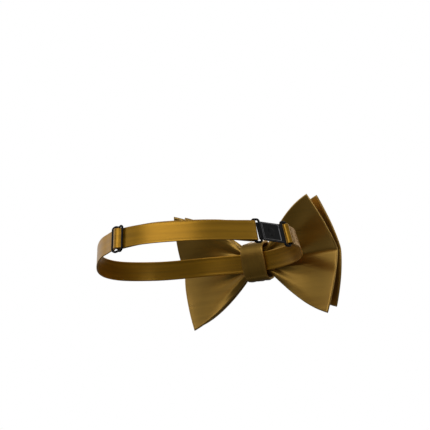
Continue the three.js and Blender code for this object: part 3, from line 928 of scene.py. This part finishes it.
def slider_wire(sizes):
    """Figure-of-eight wire: a closed curve through the four quarters of its outline, which dips where the
    lower middle bar meets it, and that bar."""
    first, second = BARS["slider_first"], BARS["slider_second"]
    reach = bar_distance(first, second) / 2
    drop = (BARS["slider_middle"][1] - first[1]) * MM
    dip = sizes.half_height
    lobe = dip + SLIDER_LOBE
    x, y = np.array([(1, 0), (1, 0.5 * dip), (1, 0.84 * dip), (0.86, 0.99 * dip), (0.52, lobe),
                     (0.22, (lobe + dip) / 2), (0, dip)]).T

    def quarter(end, side):
        return np.stack([reach * (1 + end * x), side * y, drop * (1 - x)], axis=1)

    outline = np.concatenate([quarter(1, 1), quarter(-1, 1)[-2::-1], quarter(-1, -1)[1:],
                              quarter(1, -1)[-2:0:-1]])
    loop = carried_round(closed_curve(outline, 14), circle(sizes.wire_radius, full_turn(WIRE_SIDES)))
    bar = capsule(dip, sizes.wire_radius, np.linspace(0.06, np.pi / 2, 6), WIRE_SIDES)
    middle = np.array([reach, 0.0, drop]) + np.stack(bar, axis=-1)
    skin = Skin().grid(fitting_points(first, second, loop), wrap_rows=True)
    return skin.grid(fitting_points(first, second, middle), cap_ends=True)


def round_rectangle(low_x, high_x, half_y, corner, per_corner=10):
    """Outline of a rectangle with quarter-round corners, counted round from the +x +y corner."""
    turn = np.radians(np.linspace(0, 90, per_corner))
    x, y = corner * np.cos(turn), corner * np.sin(turn)
    right, left, top = high_x - corner, low_x + corner, half_y - corner
    return np.concatenate([
        np.stack([right + x, top + y], 1), np.stack([left - y, top + x], 1),
        np.stack([left - x, -top - y], 1), np.stack([right + y, -top - x], 1),
    ])


def clasp_ring(sizes):
    """Rectangular wire ring with rounded corners."""
    near, far = BARS["ring_near"], BARS["ring_far"]
    outline = round_rectangle(0.0, bar_distance(near, far), sizes.half_height, RING_CORNER)
    loop = carried_round(at_height(outline, 0.0), circle(sizes.wire_radius, full_turn(WIRE_SIDES)))
    return Skin().grid(fitting_points(near, far, loop), wrap_rows=True)


def plate_outline(kind, size, half_height):
    """Outline of one ring of the plate, in mm: a circle about the boss, the panel's edge moved outwards, or
    the plate's own edge moved inwards."""
    if kind == "circle":
        turn = full_turn(PLATE_POINTS) + np.pi / PLATE_POINTS
        return circle(size, turn) + ((PANEL["start"] + PANEL["end"]) / 2, 0)
    if kind == "panel":
        corner = PANEL["corner"] + max(size, PANEL["least"])
        return round_rectangle(PANEL["start"] - size, PANEL["end"] + size, PANEL["half"] + size, corner)
    corner = PLATE["corner"] - size / 2
    return round_rectangle(PLATE["start"] + size, PLATE["end"] - size, half_height - size, corner)


def plate_rings(sizes):
    """Plate of the hook as rings: a low bare boss, the sunk panel, its raised rim, the top face, a rounded
    edge and the flat underside. Returns the rings and how much painted rim highlight each carries."""
    base = PLATE["base"]
    top = base + sizes.plate_thick / MM
    floor = top - sizes.panel_depth / MM
    levels = {"base": base, "top": top, "floor": floor, "boss": floor + BOSS_HEIGHT}
    rings, ring_highlights = [], []
    for kind, level, steps in PLATE_RINGS:
        for size, rise, *edge_highlight in steps:
            outline = plate_outline(kind, size, sizes.plate_half_height / MM)
            rings.append(at_height(outline, levels[level] + rise))
            ring_highlights.append([sum(edge_highlight)])
    return np.stack(rings) * MM, np.array(ring_highlights)


def slot_frame(sizes, length):
    """Slotted end of the hook: a flat bar with rounded edges carried round a rectangle, which the band's
    short end is sewn through."""
    outline = round_rectangle(SLOT["start"] * MM, length, SLOT["half"] * MM, SLOT["corner"] * MM, 8)
    half_bar, half_thick = SLOT["half_bar"] * MM, sizes.plate_thick / 2
    section = round_rectangle(-half_bar, half_bar, half_thick, SLOT["rounding"] * MM, 5)
    return carried_round(at_height(outline, PLATE["base"] * MM + half_thick), section)


def hook_tongue(sizes):
    """Tongue of the hook: a flat section carried along a line that runs in under the plate, round the ring's
    far bar and up behind it, and slims at its lip."""
    thick = TONGUE["thick"] * MM
    radius = sizes.wire_radius + TONGUE["gap"] * MM + thick / 2
    turn = np.radians(np.linspace(270, 180, 14))
    bend = circle(radius, turn)
    root = np.array([(4.5, -0.6), (3.4, -0.75), (2.2, -1.15), (1.0, 0.01 - radius / MM)]) * MM
    lip = np.array([(-radius, 0.3 * MM), (-radius, 0.6 * MM)])
    line = np.concatenate([root, bend, lip])
    heading = unit(np.gradient(line, axis=0))
    side = np.stack([-heading[:, 1], heading[:, 0]], axis=1)
    section = round_rectangle(-thick / 2, thick / 2, TONGUE["half"] * MM, TONGUE["rounding"] * MM, 5)
    slim = np.ones((2, len(line), 1))
    slim[:, -2:, 0] = ((1.0, 0.6), (0.97, 0.86))
    flat = line[:, None] + side[:, None] * (section[:, 0] * slim[0])[..., None]
    return np.stack([flat[..., 0], section[:, 1] * slim[1], flat[..., 1]], axis=-1)


def clasp_hook(sizes):
    """Plate, slotted end and tongue, stood between the ring's far bar and the band's end bar."""
    far, end = BARS["ring_far"], BARS["hook_end"]
    # The plate's rings carry a painted rim highlight.
    rings, edge_highlight = plate_rings(sizes)
    slot = slot_frame(sizes, bar_distance(far, end))
    skin = Skin().grid(fitting_points(far, end, rings), edge=edge_highlight, cap_ends=True)
    skin.grid(fitting_points(far, end, slot), wrap_rows=True)
    return skin.grid(fitting_points(far, end, hook_tongue(sizes)), cap_ends=True)


# Operators

class BOWTIE_OT_bow_layers(bpy.types.Operator):
    """Make the rear and the front layer of the bow"""
    bl_idname = "bowtie.bow_layers"
    bl_label = "Bow layers"

    def execute(self, context):
        sizes = context.scene.bow_tie.bow
        for name, layer in LAYERS.items():
            made = bow_layer(layer, sizes).piece(name + "_satin", [satin_of("bow")], name, "bow_satin")
        return {"FINISHED"}


class BOWTIE_OT_knot_wrap(bpy.types.Operator):
    """Make the pleated wrap round the bow's middle"""
    bl_idname = "bowtie.knot_wrap"
    bl_label = "Centre wrap"

    def execute(self, context):
        sizes = context.scene.bow_tie.bow
        made = knot_wrap(sizes).piece("knot_wrap_satin", [satin_of("bow")], "knot_wrap", "bow_satin")
        return {"FINISHED"}


class BOWTIE_OT_neck_band(bpy.types.Operator):
    """Make the neck band with its sewn ends"""
    bl_idname = "bowtie.neck_band"
    bl_label = "Neck band"

    def execute(self, context):
        sizes = context.scene.bow_tie.band
        skin, run_length = neck_band(sizes)
        thread = finish_named("sewing_thread", lambda: sewing_thread(context.scene.bow_tie.finishes))
        for row in STITCH_ROWS:
            stitch_row(skin, (BARS["hook_end"][0] + row) * MM, STITCH_LANE * MM, sizes, 1)
        made = skin.piece("neck_band_satin", [satin_of("band"), thread], "neck_band", "band_satin")
        return {"FINISHED"}


class BOWTIE_OT_slider(bpy.types.Operator):
    """Make the wire slider that sets the band's length"""
    bl_idname = "bowtie.slider"
    bl_label = "Slider"

    def execute(self, context):
        sizes = context.scene.bow_tie.fittings
        black_piece(slider_wire(sizes), "slider")
        return {"FINISHED"}


class BOWTIE_OT_clasp(bpy.types.Operator):
    """Make the clasp's ring and hook"""
    bl_idname = "bowtie.clasp"
    bl_label = "Clasp"

    def execute(self, context):
        sizes = context.scene.bow_tie.fittings
        black_piece(clasp_ring(sizes), "clasp_ring")
        black_piece(clasp_hook(sizes), "clasp_hook")
        return {"FINISHED"}


# Stage

def towards(turn, rise):
    """Direction from the object at a turn round it and a rise above the horizon, in degrees."""
    a, e = math.radians(turn), math.radians(rise)
    return Vector((math.sin(a) * math.cos(e), -math.cos(a) * math.cos(e), math.sin(e)))


def make_camera(distance):
    """Camera at the photograph's angle, aimed so that the neck loop's middle falls on its own pixel."""
    back = towards(CAMERA_TURN, CAMERA_RISE)
    rolled = back.to_track_quat("Z", "Y") @ Quaternion((0, 0, 1), math.radians(CAMERA_ROLL))
    right, up, _ = rolled.to_matrix().transposed()
    aside = (IMAGE_SIDE / 2 - ORIGIN_PIXEL[0]) / FOCAL_PIXELS
    above = (ORIGIN_PIXEL[1] - IMAGE_SIDE / 2) / FOCAL_PIXELS
    aim = (-back + right * aside + up * above).normalized()
    up = (up - aim * up.dot(aim)).normalized()
    stand = Matrix((aim.cross(up), up, -aim)).transposed().to_4x4()
    data = bpy.data.cameras.new("camera")
    data.sensor_width = SENSOR
    data.lens = SENSOR * FOCAL_PIXELS / IMAGE_SIDE
    data.clip_start, data.clip_end = 0.05, 50.0
    camera = bpy.data.objects.new("camera", data)
    camera.matrix_world = Matrix.Translation(back * distance) @ stand
    bpy.context.scene.collection.objects.link(camera)
    bpy.context.scene.camera = camera


def soft_light(name, power, turn, rise, distance, width, height, colour):
    """Rectangular soft light that faces the middle of the neck loop."""
    data = bpy.data.lights.new(name, "AREA")
    data.shape = "RECTANGLE"
    data.size, data.size_y = width, height
    data.energy = power
    data.color = colour
    lamp = bpy.data.objects.new(name, data)
    lamp.location = towards(turn, rise) * distance
    lamp.rotation_mode = "QUATERNION"
    lamp.rotation_quaternion = (-towards(turn, rise)).to_track_quat("-Z", "Y")
    lamp.visible_camera = False
    bpy.context.scene.collection.objects.link(lamp)


def pale_floor(drop):
    """Flat round floor: rings of points, r cos and r sin, at one height. Only the camera sees it."""
    radius = np.array([0.01, 0.3, 0.8, 1.6, 3.0, 6.0])
    turn = full_turn(64)
    rows, columns = len(radius), len(turn)
    points = np.stack([np.outer(radius, np.cos(turn)), np.outer(radius, np.sin(turn)),
                       np.full((rows, columns), -drop)], axis=-1)
    row, column = ring_corners(rows - 1, columns)
    faces = (row * columns + column % columns)[:, ::-1].tolist()
    mesh = bpy.data.meshes.new("floor")
    mesh.from_pydata(points.reshape(-1, 3).tolist(), [], faces + [list(range(columns))])
    finish, tree, shader = new_finish("pale_floor")
    grain = mottle(tree, 30.0, 2.0)
    set_inputs(tree, shader, {
        "Base Color": grain.pick((0.78, 0.78, 0.77, 1.0), (0.82, 0.82, 0.81, 1.0)),
        "Roughness": 0.8 + 0.1 * grain,
        "Emission Color": (1.0, 1.0, 1.0, 1.0),
        "Emission Strength": 0.74,
    })
    mesh.materials.append(finish)
    floor = bpy.data.objects.new("floor", mesh)
    floor.visible_glossy = False
    floor.visible_diffuse = False
    bpy.context.scene.collection.objects.link(floor)


def pale_room(ambient):
    """White room as the camera sees it. What falls on the object is dimmer: a band of light round the
    horizon, brighter towards the far wall on the wearer's left, over a dark ground."""
    world = bpy.data.worlds.new("pale_room")
    bpy.context.scene.world = world
    world.use_nodes = True
    tree = world.node_tree
    heading = Tone.node(tree, "ShaderNodeTexCoord", output=0)
    height = Tone.node(tree, "ShaderNodeSeparateXYZ", {}, {0: heading}, 2)
    wall = Tone.node(tree, "ShaderNodeVectorMath", {"operation": "DOT_PRODUCT"},
                     {0: heading, 1: towards(CAMERA_TURN + WALL_TURN, 0)}, 1)
    level = height.between(-0.3, 0.1) * (1 - CEILING_DIM * height.between(0.5, 0.95))
    light = GROUND_LIGHT * ambient + level * (ambient + WALL_LIGHT * ambient * wall.between(0.4, 1.0))
    seen = Tone.node(tree, "ShaderNodeLightPath", output=0)
    set_inputs(tree, tree.nodes["Background"], {
        "Color": (1.0, 1.0, 1.0, 1.0),
        "Strength": seen + (1 - seen) * light,
    })


class BOWTIE_OT_stage(bpy.types.Operator):
    """Make the pale floor, the soft lights and the camera"""
    bl_idname = "bowtie.stage"
    bl_label = "Stage"

    def execute(self, context):
        settings = context.scene.bow_tie.stage
        context.scene.view_settings.view_transform = "Standard"
        make_camera(settings.distance)
        pale_floor(settings.floor_drop)
        pale_room(settings.ambient)
        for name, light in LIGHTS.items():
            soft_light(name + "_light", getattr(settings, name + "_power"), *light)
        return {"FINISHED"}


class BOWTIE_PT_maker(bpy.types.Panel):
    """Lists the steps that make the bow tie, and its settings"""
    bl_idname = "BOWTIE_PT_maker"
    bl_label = "Bow tie"
    bl_space_type = "VIEW_3D"
    bl_region_type = "UI"
    bl_category = "Bow tie"

    def draw(self, context):
        settings = context.scene.bow_tie
        for group in ("bow", "band", "fittings", "finishes", "stage"):
            box = self.layout.box()
            box.label(text=group.capitalize())
            values = getattr(settings, group)
            for key in values.__annotations__:
                box.prop(values, key)
        for step in STEPS:
            self.layout.operator(step.bl_idname)


STEPS = (BOWTIE_OT_stage, BOWTIE_OT_bow_layers, BOWTIE_OT_knot_wrap, BOWTIE_OT_neck_band, BOWTIE_OT_slider,
         BOWTIE_OT_clasp)
GROUPS = (BowSizes, BandSizes, FittingSizes, Finishes, StageSettings, BowTieSettings)
CLASSES = (*GROUPS, *STEPS, BOWTIE_PT_maker)


def register():
    """Adds the settings, the steps and the panel."""
    for entry in CLASSES:
        bpy.utils.register_class(entry)
    bpy.types.Scene.bow_tie = group_prop(BowTieSettings, "Bow tie", "Settings of the bow tie")


def unregister():
    """Takes them away again, last first."""
    del bpy.types.Scene.bow_tie
    for entry in reversed(CLASSES):
        bpy.utils.unregister_class(entry)


def main():
    """Makes the stage and each piece in turn."""
    register()
    bpy.ops.bowtie.stage()
    bpy.ops.bowtie.bow_layers()
    bpy.ops.bowtie.knot_wrap()
    bpy.ops.bowtie.neck_band()
    bpy.ops.bowtie.slider()
    bpy.ops.bowtie.clasp()


if __name__ == "__main__":
    main()
